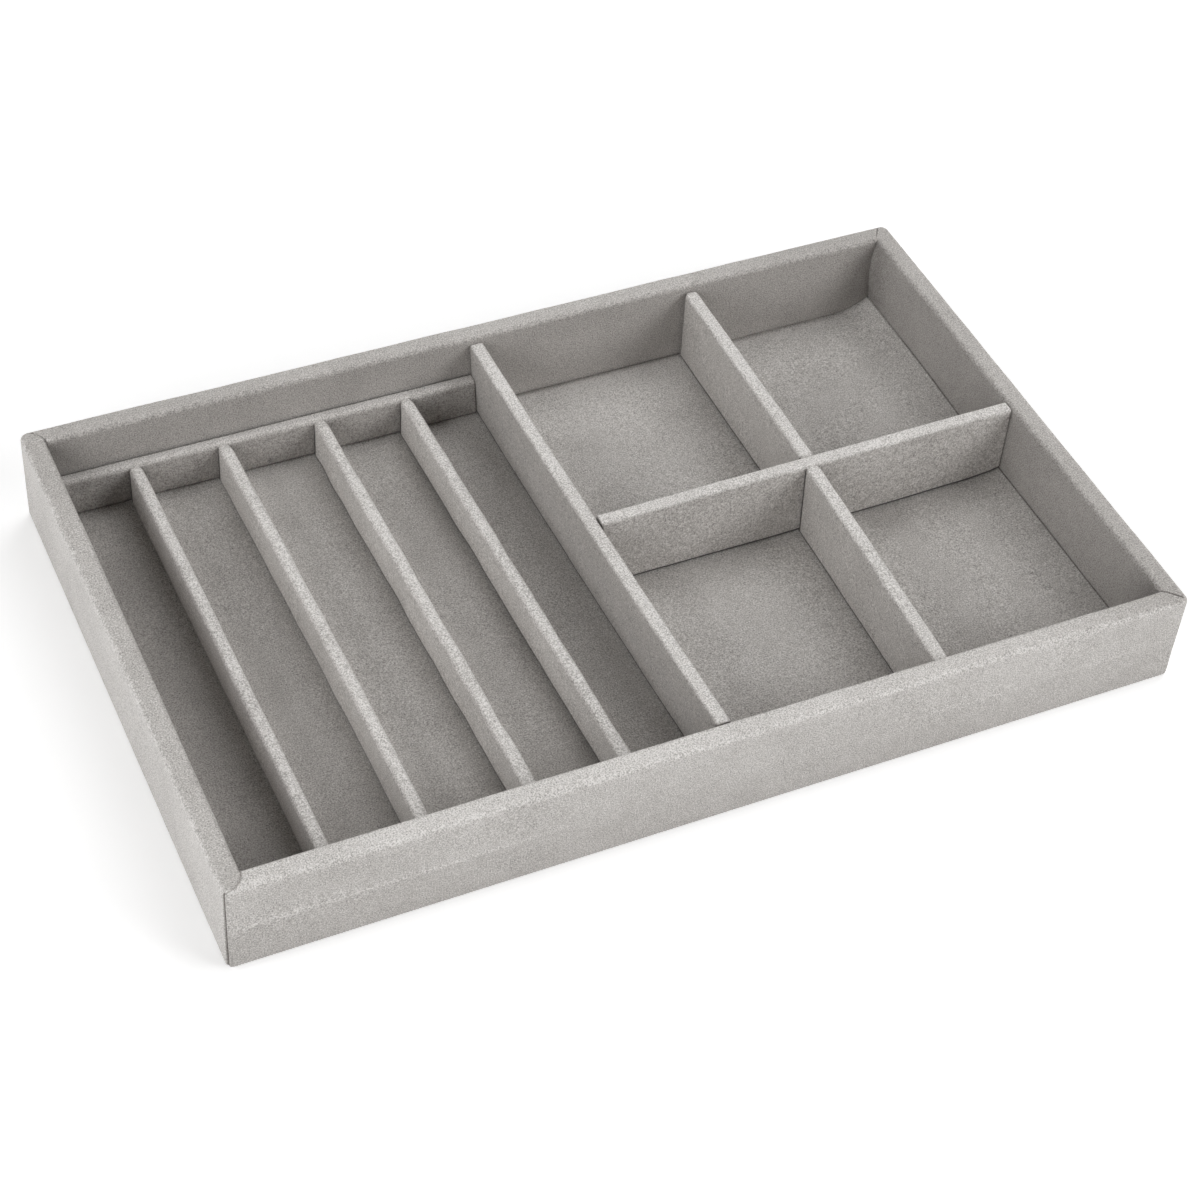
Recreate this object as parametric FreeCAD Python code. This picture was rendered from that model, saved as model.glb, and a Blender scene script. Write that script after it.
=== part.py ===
import FreeCAD, Part
import math
import os

from FreeCAD import Vector

# A jewelry tray: boards covered in suede cloth and glued together.
# Millimetres. X runs left to right, Y front to rear, Z up, and the origin is under the middle of the tray.

# Outside of the finished tray
tray_length = 350.0
tray_width = 222.0
tray_height = 38.5

# Sheet stock
cloth = 1.0
wall_board = 6.0
base_board = 2.0
tall_divider_board = 3.5
low_divider_board = 3.0
floor_card = 0.6
lining_rim = 0.5

# Roundings of the cloth's outside, and the bevel that eases the boards' upper edges under it
corner_radius = 3.0
rim_radius = 2.0
hem_radius = 1.5
tall_top_radius = 1.2
low_top_radius = 1.5
board_arris = 1.0
divider_arris = 0.5

# The wrap's turn-in under the base, and the felt lining that covers its edge
turn_in = 14.0
lining_inset = 5.0
lining_corner_radius = 4.0

# Seams of the wrap: rounded tabs at the left corners, straight cuts at the right ones
seam_gap = 0.2
tab_inset = 1.0
seam_land = 1.5
front_right_seam_angle = 45.0
rear_right_seam_angle = 57.0

# Fits between pieces that are glued in place
floor_gap = 0.4
end_gap = 0.3
rail_gap = 0.2
main_front_gap = 3.0

# Heights above the floor cloth
tall_divider_height = 30.8
low_divider_height = 16.2

# Clear widths at the rear end, left to right. The dividers are set by hand, a little out of square:
# a drift is how far to the right of its rear end a divider's front end stands.
# A lean is how far to the left of its foot a divider's top stands.
channel_widths = [27.2, 28.3, 32.0, 28.9, 26.8]
channel_drifts = [1.6, 2.1, 2.9, 3.2]
main_drift = 3.1
main_lean = 2.1
rear_cell_width = 81.4
rear_cell_drift = -0.5
rear_cell_lean = 0.5
front_cell_width = 78.4
front_cell_drift = -2.4
front_cell_lean = 0.9
cross_offset = 0.0

# Worked out from the sizes above
wall = wall_board + 2 * cloth
tall_divider = tall_divider_board + 2 * cloth
low_divider = low_divider_board + 2 * cloth
left = -tray_length / 2
right = tray_length / 2
front = -tray_width / 2
rear = tray_width / 2
base_bottom = lining_rim + cloth
base_top = base_bottom + base_board
card_top = base_top + floor_card
floor_top = card_top + cloth
tall_top = floor_top + tall_divider_height
low_top = floor_top + low_divider_height
tiny = 1e-6


def block(x0, x1, y0, y1, z0, z1):
    return Part.makeBox(x1 - x0, y1 - y0, z1 - z0, Vector(x0, y0, z0))


def footprint(inset, z0, z1):
    return block(left + inset, right - inset, front + inset, rear - inset, z0, z1)


def upright_edges(solid):
    height = solid.BoundBox.ZLength
    return [e for e in solid.Edges if abs(e.BoundBox.ZLength - height) < tiny]


def level_edges(solid, z):
    flat = [e for e in solid.Edges if e.BoundBox.ZLength < tiny]
    return [e for e in flat if abs(e.BoundBox.ZMin - z) < tiny]


def rounded(solid, upright):
    return solid.makeFillet(upright, upright_edges(solid))


# The frame inside the cloth: a ring of board with eased upper edges
def frame_ring():
    top = tray_height - cloth
    outside = rounded(footprint(cloth, base_top, top), upright=corner_radius - cloth)
    ring = outside.cut(footprint(wall - cloth, base_top, top))
    return ring.makeChamfer(board_arris, level_edges(ring, top))


# The front and rear boards run the full length, and the side boards stand between them
def wall_boards():
    ring = frame_ring()
    depth = cloth + wall_board
    front_slab = block(left, right, front, front + depth, 0, tray_height)
    rear_slab = block(left, right, rear - depth, rear, 0, tray_height)
    middle = ring.cut(front_slab.fuse(rear_slab))
    left_half = block(left, 0, front, rear, 0, tray_height)
    right_half = block(0, right, front, rear, 0, tray_height)
    return {
        "front_wall_board": ring.common(front_slab),
        "rear_wall_board": ring.common(rear_slab),
        "left_wall_board": middle.common(left_half),
        "right_wall_board": middle.common(right_half),
    }


def base():
    return rounded(footprint(cloth, base_bottom, base_top), upright=corner_radius - cloth)


# A thin cut along a straight line in plan, from a corner of the wrap outwards
def straight_seam(x, y, angle, length, z0, z1):
    cut = block(-seam_gap, length, -seam_gap / 2, seam_gap / 2, z0, z1)
    cut.rotate(Vector(0, 0, 0), Vector(0, 0, 1), angle)
    cut.translate(Vector(x, y, 0))
    return cut


# A thin cut round the end of a rounded tab: a quarter ring in plan, on the side that the signs give
def tab_seam(x, y, side_y, z0, z1):
    radius = wall - tab_inset
    outer = Part.makeCylinder(radius + seam_gap / 2, z1 - z0, Vector(x, y, z0))
    inner = Part.makeCylinder(radius - seam_gap / 2, z1 - z0, Vector(x, y, z0))
    reach = side_y * wall
    quarter = block(x, x + wall + seam_gap, min(y, y + reach), max(y, y + reach), z0, z1)
    return outer.cut(inner).common(quarter)


def seam_cuts():
    z0 = base_top - cloth / 2
    z1 = tray_height + cloth
    front_right_length = (wall - seam_land) / math.sin(math.radians(front_right_seam_angle))
    rear_right_length = (wall - seam_land) / math.sin(math.radians(rear_right_seam_angle))
    inside_left = left + tab_inset
    inside_right = right - wall
    inside_front = front + wall
    inside_rear = rear - wall
    cuts = [
        tab_seam(inside_left, inside_front, -1, z0, z1),
        tab_seam(inside_left, inside_rear, 1, z0, z1),
        straight_seam(inside_right, inside_front, -front_right_seam_angle, front_right_length, z0, z1),
        straight_seam(inside_right, inside_rear, rear_right_seam_angle, rear_right_length, z0, z1),
    ]
    # The strip's two ends meet at the front left corner, from the hem to the rim
    cuts.append(straight_seam(left + tab_inset, front + tab_inset, 225, corner_radius, 0, z1))
    # The turn-in is mitred under each corner
    mitre = (turn_in - seam_land) * math.sqrt(2)
    for x, y, angle in (
        (left + turn_in, front + turn_in, 225),
        (right - turn_in, front + turn_in, 315),
        (right - turn_in, rear - turn_in, 45),
        (left + turn_in, rear - turn_in, 135),
    ):
        cuts.append(straight_seam(x, y, angle, mitre, 0, base_bottom))
    return cuts


def wall_wrap():
    skin = rounded(footprint(0, lining_rim, tray_height), upright=corner_radius)
    skin = skin.makeFillet(hem_radius, level_edges(skin, lining_rim))
    skin = skin.cut(footprint(wall, base_top, tray_height))
    skin = skin.makeFillet(rim_radius, level_edges(skin, tray_height))
    skin = skin.cut(frame_ring())
    skin = skin.cut(base())
    skin = skin.cut(footprint(turn_in, 0, base_bottom))
    for cut in seam_cuts():
        skin = skin.cut(cut)
    return skin


# Felt: pressed thin where it covers the turn-in, and full thickness inside it
def bottom_lining():
    rim = rounded(footprint(lining_inset, 0, lining_rim), upright=lining_corner_radius)
    middle = footprint(turn_in + seam_gap, 0, base_bottom)
    return rim.fuse(middle).removeSplitter()


def floor_panel(z0, z1):
    return footprint(wall + floor_gap, z0, z1)


def extruded(corners, way):
    return Part.Face(Part.makePolygon(corners + corners[:1])).extrude(way)


# A divider is a board in a cloth cover that is open at the bottom.
# It stands between two faces, and start and end are where its centre line meets them on the floor.
# The top may lean to the right of the way from start to end, and the ends may be cut on a slant:
# a slant is how far back towards the start the top of an end stands.
def divider_pair(start, end, board_thickness, top, top_radius, lean=0.0, slants=(0.0, 0.0), last_gap=end_gap):
    span = math.hypot(end[0] - start[0], end[1] - start[1])
    turn = math.degrees(math.atan2(end[1] - start[1], end[0] - start[0]))

    def bar(inset, half):
        first, last = end_gap + inset, span - last_gap - inset
        bar_top = top - inset
        share = (bar_top - floor_top) / (top - floor_top)
        first_top, last_top = first - slants[0] * share, last - slants[1] * share
        shift = lean * share
        section = [(-half, floor_top), (half, floor_top), (half - shift, bar_top), (-half - shift, bar_top)]
        side = [(first, floor_top), (last, floor_top), (last_top, bar_top), (first_top, bar_top)]
        along = extruded([Vector(-span, y, z) for y, z in section], Vector(3 * span, 0, 0))
        across = extruded([Vector(x, -span, z) for x, z in side], Vector(0, 2 * span, 0))
        return along.common(across)

    board = bar(cloth, board_thickness / 2)
    long_edges = [e for e in level_edges(board, top - cloth) if e.BoundBox.YLength < tiny]
    board = board.makeChamfer(divider_arris, long_edges)
    cover = bar(0.0, board_thickness / 2 + cloth)
    cover = cover.makeFillet(top_radius, level_edges(cover, top)).cut(board)
    for solid in (board, cover):
        solid.rotate(Vector(0, 0, 0), Vector(0, 0, 1), turn)
        solid.translate(Vector(start[0], start[1], 0))
    return board, cover


def low_pair(start, end, **setting):
    return divider_pair(start, end, low_divider_board, low_top, low_top_radius, **setting)


def tall_pair(start, end, **setting):
    return divider_pair(start, end, tall_divider_board, tall_top, tall_top_radius, **setting)


def dividers():
    inner_left = left + wall
    inner_right = right - wall
    inner_front = front + wall
    inner_rear = rear - wall
    rail_rear = inner_rear - rail_gap
    rail_front = rail_rear - low_divider
    pairs = {}

    # Low dividers run from the rail to the front wall, side by side from the left wall
    x = inner_left
    for number, (width, drift) in enumerate(zip(channel_widths, channel_drifts), start=1):
        x += width + low_divider / 2
        pairs[f"channel_divider_{number}"] = low_pair((x, rail_front), (x + drift, inner_front))
        x += low_divider / 2

    main_left = x + channel_widths[-1]
    main_x = main_left + tall_divider / 2
    main_right = main_left + tall_divider
    main_start = (main_x, inner_rear)
    main_end = (main_x + main_drift, inner_front)
    pairs["main_divider"] = tall_pair(main_start, main_end, lean=main_lean, last_gap=main_front_gap)

    # The rail's right end is cut to the main divider's lean
    rail_y = (rail_front + rail_rear) / 2
    rail_slant = main_lean * low_divider_height / tall_divider_height
    pairs["channel_rail"] = low_pair((inner_left, rail_y), (main_left, rail_y), slants=(0.0, rail_slant))

    # The cross divider starts where the main divider's right face has got to, and is cut to its lean
    cross_y = cross_offset
    cross_front = cross_y - tall_divider / 2
    cross_rear = cross_y + tall_divider / 2
    main_slope = main_drift / (inner_front - inner_rear)
    cross_left = main_right + main_slope * (cross_y - inner_rear)
    pairs["cross_divider"] = tall_pair((cross_left, cross_y), (inner_right, cross_y), slants=(main_lean, 0.0))

    rear_x = main_right + rear_cell_width + tall_divider / 2
    front_x = cross_left + front_cell_width + tall_divider / 2
    rear_end = (rear_x + rear_cell_drift, cross_rear)
    front_end = (front_x + front_cell_drift, inner_front)
    pairs["rear_cell_divider"] = tall_pair((rear_x, inner_rear), rear_end, lean=rear_cell_lean)
    pairs["front_cell_divider"] = tall_pair((front_x, cross_front), front_end, lean=front_cell_lean)
    return pairs


parts = wall_boards()
parts["base_board"] = base()
parts["wall_wrap"] = wall_wrap()
parts["bottom_lining"] = bottom_lining()
parts["floor_card"] = floor_panel(base_top, card_top)
parts["floor_cloth"] = floor_panel(card_top, floor_top)
for name, (board, cover) in dividers().items():
    parts[f"{name}_board"] = board
    parts[f"{name}_cover"] = cover

os.makedirs("parts", exist_ok=True)
for name, shape in parts.items():
    shape.exportStep(f"parts/{name}.step")
    print(name, "solids", len(shape.Solids), "valid", shape.isValid(), "volume", round(shape.Volume, 1))
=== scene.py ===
import math

import bmesh
import bpy
from mathutils import Matrix, Vector, noise


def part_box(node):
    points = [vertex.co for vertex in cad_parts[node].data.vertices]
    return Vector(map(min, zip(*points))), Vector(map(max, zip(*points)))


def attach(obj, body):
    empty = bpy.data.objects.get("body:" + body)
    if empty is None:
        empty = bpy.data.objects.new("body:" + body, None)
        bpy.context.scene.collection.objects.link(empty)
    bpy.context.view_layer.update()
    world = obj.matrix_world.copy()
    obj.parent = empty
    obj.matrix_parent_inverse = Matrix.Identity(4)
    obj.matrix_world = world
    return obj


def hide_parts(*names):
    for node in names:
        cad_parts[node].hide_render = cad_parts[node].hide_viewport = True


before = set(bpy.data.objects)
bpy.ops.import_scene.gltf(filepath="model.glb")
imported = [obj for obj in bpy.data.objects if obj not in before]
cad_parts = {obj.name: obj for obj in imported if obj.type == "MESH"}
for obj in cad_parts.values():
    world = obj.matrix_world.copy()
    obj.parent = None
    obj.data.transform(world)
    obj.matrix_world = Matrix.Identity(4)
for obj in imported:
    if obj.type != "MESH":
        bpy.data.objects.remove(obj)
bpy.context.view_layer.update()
mm = 0.001
print("frame loaded:", len(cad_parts), "nodes")

# In millimetres: the thickness of every cloth skin, a little under the cloth's own, so that two layers never
# share a face, and how close two places have to lie to count as one
skinThickness = 0.9
samePlace = 0.01


def hexColour(code):
    channels = [int(code[i:i + 2], 16) / 255 for i in (1, 3, 5)]
    linear = [c / 12.92 if c <= 0.04045 else ((c + 0.055) / 1.055) ** 2.4 for c in channels]
    return linear + [1.0]


# Adds a node: inputs are values or sockets to link, settings are the node's own properties
def addNode(tree, kind, inputs=None, **settings):
    node = tree.nodes.new(kind)
    for name, value in settings.items():
        setattr(node, name, value)
    for name, value in (inputs or {}).items():
        if isinstance(value, bpy.types.NodeSocket):
            tree.links.new(value, node.inputs[name])
        else:
            node.inputs[name].default_value = value
    return node


def newMaterial(name):
    material = bpy.data.materials.new(name)
    material.use_nodes = True
    tree = material.node_tree
    tree.nodes.clear()
    return material, tree


def setStops(ramp, stops):
    elements = ramp.color_ramp.elements
    while len(elements) < len(stops):
        elements.new(0.5)
    for element, (position, colour) in zip(elements, stops):
        element.position = position
        element.color = hexColour(colour)


# Microsuede: a knitted polyester with a raised, sanded nap.
# The eye gets a matt warm grey, finely speckled where the fibres stand, clouded where a hand brushed them.
# Each piece also says which way its nap lies: upright fibres are lighter, fibres brushed down are darker.
# The same value carries painted light and shade: lighter tops and outer faces, darker insides, and a deep
# painted shadow in seams, gaps, along feet and at ends.
suedeLook = {
    "gapShadow": "#3C3A38", "dark": "#706C69", "mid": "#C2BEBA", "light": "#F3F0ED",
    "napMm": 0.5, "tuftMm": 2.4, "cloudMm": 24.0,
    "napShare": 1.35, "tuftShare": 0.20, "cloudShare": 0.20, "layShare": 0.12,
    "layGrain": 0.18, "napHeightMm": 0.16, "gapShadowRoom": 0.25,
}


def suedeCloth(name, look):
    material, tree = newMaterial(name)
    coords = addNode(tree, "ShaderNodeTexCoord").outputs["Object"]
    nap = addNode(tree, "ShaderNodeTexNoise", {"Vector": coords, "Scale": 1 / (look["napMm"] * mm),
                                               "Detail": 1.0, "Roughness": 0.5})
    tuft = addNode(tree, "ShaderNodeTexNoise", {"Vector": coords, "Scale": 1 / (look["tuftMm"] * mm),
                                                "Detail": 1.0, "Roughness": 0.5})
    cloud = addNode(tree, "ShaderNodeTexNoise", {"Vector": coords, "Scale": 1 / (look["cloudMm"] * mm),
                                                 "Detail": 2.0, "Roughness": 0.5, "Distortion": 0.6})
    # The three sizes of pattern, added round nought
    timesPlus = {"kind": "ShaderNodeMath", "operation": "MULTIPLY_ADD"}
    grain = -0.5 * (look["napShare"] + look["tuftShare"] + look["cloudShare"])
    for texture, share in ((nap, "napShare"), (tuft, "tuftShare"), (cloud, "cloudShare")):
        added = addNode(tree, inputs={0: texture.outputs["Fac"], 1: look[share], 2: grain}, **timesPlus)
        grain = added.outputs[0]
    # Upright fibres are speckled more than fibres brushed down, and painted shade calms the speckle as well
    napAndShade = addNode(tree, "ShaderNodeAttribute", attribute_name="napAndPaintedShade").outputs["Fac"]
    speckle = addNode(tree, inputs={0: napAndShade, 1: look["layGrain"], 2: 1.0}, **timesPlus)
    shade = addNode(tree, inputs={0: grain, 1: speckle.outputs[0], 2: 0.5}, **timesPlus)
    shade = addNode(tree, inputs={0: napAndShade, 1: look["layShare"], 2: shade.outputs[0]}, **timesPlus)
    # Below the darkest nap there is room for a painted shadow tone, for seams, gaps, feet and ends
    room = look["gapShadowRoom"]
    place = addNode(tree, inputs={0: shade.outputs[0], 1: 1 - room, 2: room}, **timesPlus)
    ramp = addNode(tree, "ShaderNodeValToRGB", {"Fac": place.outputs[0]})
    setStops(ramp, [(0.0, look["gapShadow"]), (room, look["dark"]), ((1 + room) / 2, look["mid"]),
                    (1.0, look["light"])])
    bump = addNode(tree, "ShaderNodeBump", {"Height": nap.outputs["Fac"], "Strength": 0.7,
                                            "Distance": look["napHeightMm"] * mm})
    shader = addNode(tree, "ShaderNodeBsdfPrincipled", {
        "Base Color": ramp.outputs["Color"], "Normal": bump.outputs["Normal"],
        "Roughness": 0.95, "Specular IOR Level": 0.2, "Sheen Weight": 0.12, "Sheen Roughness": 0.5})
    addNode(tree, "ShaderNodeOutputMaterial", {"Surface": shader.outputs["BSDF"]})
    return material


# Pressed boards: wood fibre in the walls, grey pulp in the base, the card and the dividers.
# The eye gets short dark and pale fibres in a flat, matt ground.
boardLooks = {
    "mdf": {"ground": "#B08D66", "fibre": "#8A6A47", "pale": "#C9A983", "fibreMm": 0.8},
    "greyboard": {"ground": "#857F76", "fibre": "#645F57", "pale": "#9F998F", "fibreMm": 1.1},
}


def pressedBoard(name, look):
    material, tree = newMaterial(name)
    coords = addNode(tree, "ShaderNodeTexCoord").outputs["Object"]
    fibre = addNode(tree, "ShaderNodeTexNoise", {"Vector": coords, "Scale": 1 / (look["fibreMm"] * mm),
                                                 "Detail": 4.0, "Roughness": 0.7, "Distortion": 1.5})
    ramp = addNode(tree, "ShaderNodeValToRGB", {"Fac": fibre.outputs["Fac"]})
    setStops(ramp, [(0.3, look["fibre"]), (0.5, look["ground"]), (0.72, look["pale"])])
    bump = addNode(tree, "ShaderNodeBump", {"Height": fibre.outputs["Fac"], "Strength": 0.3,
                                            "Distance": 0.1 * mm})
    shader = addNode(tree, "ShaderNodeBsdfPrincipled", {
        "Base Color": ramp.outputs["Color"], "Normal": bump.outputs["Normal"], "Roughness": 0.8})
    addNode(tree, "ShaderNodeOutputMaterial", {"Surface": shader.outputs["BSDF"]})
    return material


# Needled felt under the tray: matted fibres that cross at all angles, with no gloss.
feltLook = {"dark": "#7F7C79", "light": "#A9A6A2", "matMm": 1.6, "fibreMm": 0.5, "heightMm": 0.25}


def needledFelt(name, look):
    material, tree = newMaterial(name)
    coords = addNode(tree, "ShaderNodeTexCoord").outputs["Object"]
    mat = addNode(tree, "ShaderNodeTexNoise", {"Vector": coords, "Scale": 1 / (look["matMm"] * mm),
                                               "Detail": 6.0, "Roughness": 0.75, "Distortion": 2.5})
    ramp = addNode(tree, "ShaderNodeValToRGB", {"Fac": mat.outputs["Fac"]})
    setStops(ramp, [(0.32, look["dark"]), (0.68, look["light"])])
    fibre = addNode(tree, "ShaderNodeTexNoise", {"Vector": coords, "Scale": 1 / (look["fibreMm"] * mm),
                                                 "Detail": 3.0, "Distortion": 3.0})
    bump = addNode(tree, "ShaderNodeBump", {"Height": fibre.outputs["Fac"], "Strength": 0.8,
                                            "Distance": look["heightMm"] * mm})
    shader = addNode(tree, "ShaderNodeBsdfPrincipled", {
        "Base Color": ramp.outputs["Color"], "Normal": bump.outputs["Normal"],
        "Roughness": 1.0, "Specular IOR Level": 0.1, "Sheen Weight": 0.2})
    addNode(tree, "ShaderNodeOutputMaterial", {"Surface": shader.outputs["BSDF"]})
    return material


suede = suedeCloth("suede_cloth", suedeLook)
mdf = pressedBoard("mdf", boardLooks["mdf"])
greyboard = pressedBoard("greyboard", boardLooks["greyboard"])
felt = needledFelt("needled_felt", feltLook)
print("materials made")


# The boards keep their solids and get their own material
for nodeName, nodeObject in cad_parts.items():
    if nodeName.endswith("_board") or nodeName == "floor_card":
        nodeObject.data.materials.clear()
        nodeObject.data.materials.append(mdf if "wall_board" in nodeName else greyboard)


def nodeBox(name):
    low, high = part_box(name)
    return Vector(low) / mm, Vector(high) / mm


# Slow, repeatable unevenness of glued cloth: about -1 to 1
def unevenness(u, v, seed, size):
    return noise.noise(Vector((u / size, v / size, seed * 7.31)))


def smoothStep(value, low, high):
    t = min(max((value - low) / (high - low), 0.0), 1.0)
    return t * t * (3 - 2 * t)


# The value at a place on a line through the given points
def between(points, place):
    for (x0, y0), (x1, y1) in zip(points, points[1:]):
        if place < x1:
            return y0 + (y1 - y0) * max(place - x0, 0.0) / (x1 - x0)
    return points[-1][1]


def everything(bm):
    return bm.verts[:] + bm.edges[:] + bm.faces[:]


def withEdges(faces):
    parts = dict.fromkeys([v for f in faces for v in f.verts] + [e for f in faces for e in f.edges])
    return list(parts) + faces


def cutAcross(bm, axis, places, geom=None):
    normal = [0.0, 0.0, 0.0]
    normal[axis] = 1.0
    for place in places:
        point = [0.0, 0.0, 0.0]
        point[axis] = place
        result = bmesh.ops.bisect_plane(bm, geom=geom or everything(bm), dist=0.002,
                                        plane_co=point, plane_no=normal)
        geom = result["geom"] if geom else None
    return geom


def evenPlaces(low, high, step):
    count = max(1, round((high - low) / step))
    return [low + (high - low) * i / count for i in range(1, count)]


# Keeps on every vertex how the nap lies, brushed down below nought and upright above it, and with it the
# painted light (above nought) and painted shade (below nought)
def paintNapAndShade(bm, napAndShade):
    bm.normal_update()
    layer = bm.verts.layers.float.new("napAndPaintedShade")
    for vert in bm.verts:
        vert[layer] = napAndShade(vert)


# One value on level cloth, another on upright cloth, and a blend over the roundings
def byTilt(vert, level, upright):
    share = max(vert.normal.z, 0.0) ** 2
    return level * share + upright * (1 - share)


# Turns a millimetre bmesh into a finished piece that stands for its CAD node
def finishPiece(name, bm, material, node):
    bmesh.ops.dissolve_degenerate(bm, dist=samePlace, edges=bm.edges)
    bmesh.ops.scale(bm, vec=(mm, mm, mm), verts=bm.verts)
    mesh = bpy.data.meshes.new(name)
    bm.to_mesh(mesh)
    bm.free()
    mesh.materials.append(material)
    for face in mesh.polygons:
        face.use_smooth = True
    piece = bpy.data.objects.new(name, mesh)
    bpy.context.collection.objects.link(piece)
    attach(piece, "root")
    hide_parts(node)
    return piece


def giveThickness(piece, thickness):
    skin = piece.modifiers.new("clothThickness", "SOLIDIFY")
    skin.thickness = thickness * mm
    skin.offset = -1.0


# Wall wrap: one strip of cloth round the outside, over the rim and down inside, turned in under the base
wrapSettings = {
    # The strip and its roundings, and the steps of the net that it is shaped on
    "wall": 8.0, "turnIn": 14.0, "flapFoot": 3.5, "beyondTurnIn": 2.0,
    "cornerRadius": 3.0, "seamCornerRadius": 2.4, "rimRadius": 2.0, "hemRadius": 1.5,
    "cornerSegments": 8, "seamCornerSegments": 16, "rimSegments": 6, "hemSegments": 4,
    "gridStep": 4.0, "heightStep": 3.0, "aboveHem": 2.0, "belowRim": 2.5,
    "seamStep": 0.25, "seamReach": 9.5, "seamDepth": 4.0,
    # Seams over the rim at each corner, where the strip's ends meet, and where the flaps meet inside
    "seamWidth": 0.28, "seamDrop": 1.2, "seamTilt": (0.2, 0.7), "seamBeyond": 2.0, "seamEase": 0.5,
    "seamStart": 0.4, "seamLand": {"front": 2.2, "rear": 1.6},
    "straightSeamShare": {"front": 1.1, "rear": 0.55},
    "frontRightAngle": 45.0, "rearRightAngle": 57.0, "rearRightShift": 0.6,
    "tabLift": 0.3, "tabFade": 2.2, "tabRadius": 7.0, "tabInset": 1.0, "tabStart": (-0.6, 0.2),
    "tabSeamShare": {"front": 0.4, "rear": 0.6},
    "closingDrop": 1.8, "closingShift": 0.45, "closingWidth": 0.22, "closingFlare": 0.14,
    "closingFlareMm": (4.0, 34.0), "closingReach": 3.0, "closingTilt": 0.6, "closingFoot": 0.3,
    "innerSeamStep": 0.4, "innerSeamDrop": 0.7, "innerSeamTop": 1.0, "innerSeamFind": 0.05,
    "bridge": 1.2, "bridgeRiseMm": (10.0, 25.0), "bridgeFallMm": (29.0, 37.0), "bridgeReach": 12.0,
    "bridgeFind": 0.1,
    # Unevenness of the cloth, and the fold line along the front face
    "faceWave": 0.22, "faceWaveMm": 34.0, "faceWaveRise": 0.6, "flapWave": 0.14, "flapWaveMm": 30.0,
    "rimWave": 0.16, "rimWaveMm": 16.0, "rimWaveAcross": 3.0, "rimTilt": (0.2, 0.9), "calmHemMm": (2.0, 10.0),
    "creaseHeight": 19.6, "creaseRise": 0.28, "creaseWidth": 0.7, "creaseBelly": 7.0,
    "creaseBandMm": (12.0, 27.0), "creaseFaceMm": 0.6, "creaseNapMm": 0.8,
    "creaseLeftMm": (85.0, 130.0), "creaseRight": 0.35, "creaseRightMm": (235.0, 265.0),
    "creaseSway": 0.5, "creaseSwayMm": 45.0,
    "creaseNetMm": (15.0, 24.0), "creaseNetFace": 0.3, "creaseNetReach": 2.5, "creaseNetStep": 0.45,
    # Painted shade in the seams, a painted highlight along the fold line with painted shade below it, and how
    # the nap lies on each side's rim, outside face and flap, together with painted light and shade there: a
    # painted highlight on the rim's round edge, painted shade at the inside corners and on the left rim
    # towards the rear, and painted light at the foot of the rear flap
    "seamPaintedShade": -3.5, "closingPaintedShade": -5.0, "innerSeamPaintedShade": -5.0, "innerSeamFrom": 0.4, "innerSeamTilt": 0.5,
    "creasePaintedHighlight": 0.8, "creaseShade": 0.4, "creaseShadeMm": (0.0, 1.0), "creaseShadeEndMm": (2.0, 7.0),
    "edgeNapAndHighlight": 0.8, "leftRimRearShade": 0.7, "leftRimRearShadeFrom": 30.0, "flapCornerPaintedShade": -1.0, "flapCornerMm": (2.0, 18.0),
    "rimNapAndLight": {"front": 1.4, "left": 0.2, "right": -0.1, "rear": -0.1},
    "rimRun": {
        "front": [(-160, 0.4), (-100, 0.5), (-40, 0.7), (20, 0.2), (100, -0.2), (125, -0.8), (145, -1.2),
                  (158, -1.6), (170, -2.0)],
        "rear": [(-165, -0.6), (-110, -0.3), (-50, 0.1), (60, 0.4), (100, 0.0), (125, -0.6), (165, -0.7)],
        "left": [(0, 0.0)],
        "right": [(-100, -0.4), (-50, -0.5), (-20, 0.1), (40, 0.0), (70, -0.1), (95, -0.6)],
    },
    "frontFaceRun": [(4, -0.4), (12, -0.35), (20, 0.0), (31, 0.2)],
    "faceNapAndLight": {"front": 0.6, "left": 1.5, "right": 0.6, "rear": 0.6},
    "flapNapAndShade": {"front": -1.2, "left": -1.2, "right": -1.9, "rear": -1.3},
    "flapFootPaintedLight": 0.9, "flapFootMm": (4.0, 14.0),
}


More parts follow.
